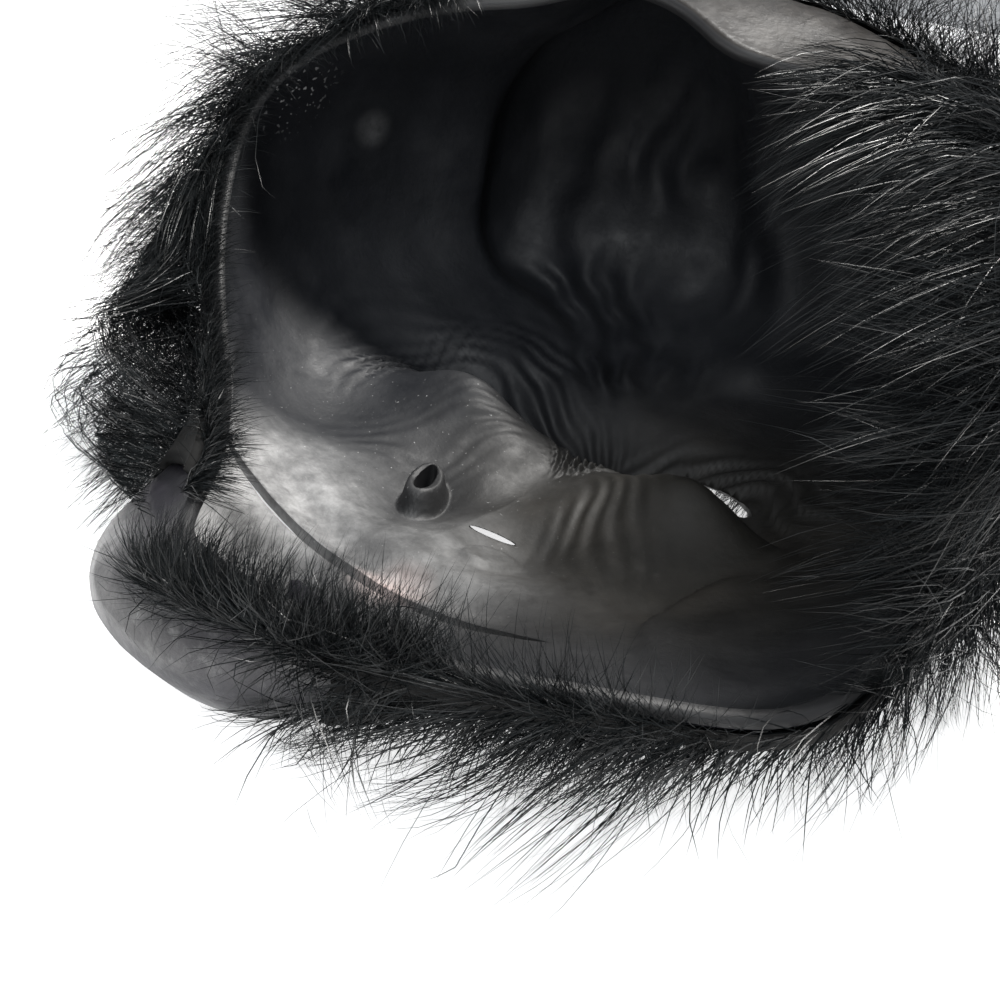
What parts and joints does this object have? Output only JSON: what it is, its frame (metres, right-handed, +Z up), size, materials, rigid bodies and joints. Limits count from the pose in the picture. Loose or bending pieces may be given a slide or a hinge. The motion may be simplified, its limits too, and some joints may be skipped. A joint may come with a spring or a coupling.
{
  "type": "gorilla mask",
  "caption": "Black latex gorilla mask with long black fake fur, lying face down with its hollow inside up",
  "frame": {"origin": "on the surface the mask lies on, under the middle of its bounding box", "axes": "+Y towards the crown, -Y towards the chin, +X one side of the head, +Z up out of the hollow"},
  "size_m": [0.2664, 0.269, 0.1372],
  "materials": {
    "latex": "satin, dusty",
    "fur": "long glossy pile"
  },
  "bodies": {
    "root": {"latex_mask": "latex", "fur_coat": "fur"}
  },
  "joints": []
}
